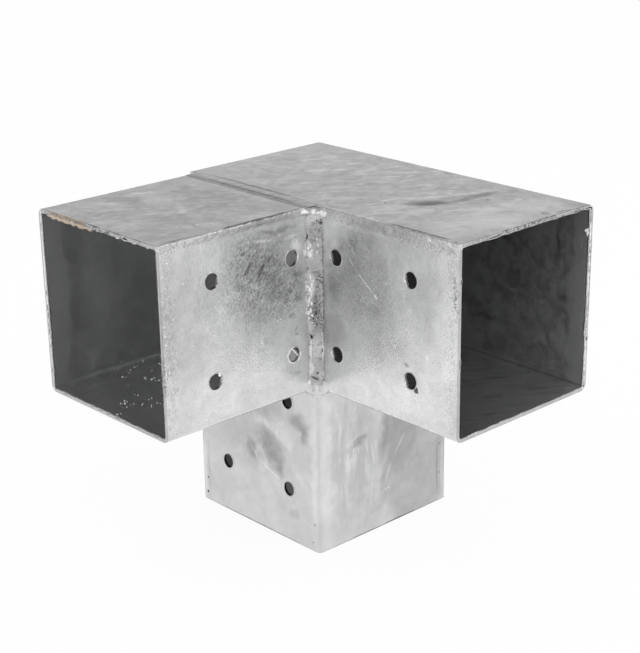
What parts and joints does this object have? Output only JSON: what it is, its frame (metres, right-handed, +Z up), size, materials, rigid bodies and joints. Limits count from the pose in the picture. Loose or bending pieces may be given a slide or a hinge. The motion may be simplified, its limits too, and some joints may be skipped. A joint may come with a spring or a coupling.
{
  "type": "pergola corner bracket",
  "caption": "Galvanised welded steel corner bracket: square sleeves take beams along both sides and a post below, with bolt holes in the inner walls.",
  "frame": {"origin": "centre of the post sleeve's mouth, on its bottom rim", "axes": "+Z up along the post; the long beam sleeve opens towards -Y and the short one towards -X"},
  "size_m": [0.1929, 0.1929, 0.1905],
  "materials": {
    "galvanised_sheet": "hot-dip galvanised folded sheet, satin grey with clouded and streaked zinc",
    "galvanised_weld": "hot-dip galvanised weld metal, lumpy and a little brighter than the sheet"
  },
  "bodies": {
    "root": {"long_sleeve": "galvanised_sheet", "short_sleeve": "galvanised_sheet", "post_sleeve": "galvanised_sheet", "end_plate": "galvanised_sheet", "end_plate_weld": "galvanised_weld", "long_seam_weld": "galvanised_weld", "short_seam_weld": "galvanised_weld", "post_seam_weld": "galvanised_weld", "top_joint_weld": "galvanised_weld", "inner_corner_weld": "galvanised_weld", "outer_joint_weld": "galvanised_weld", "underside_joint_weld": "galvanised_weld", "post_short_weld": "galvanised_weld", "post_long_weld": "galvanised_weld", "post_outer_weld": "galvanised_weld", "post_end_weld": "galvanised_weld"}
  },
  "joints": []
}
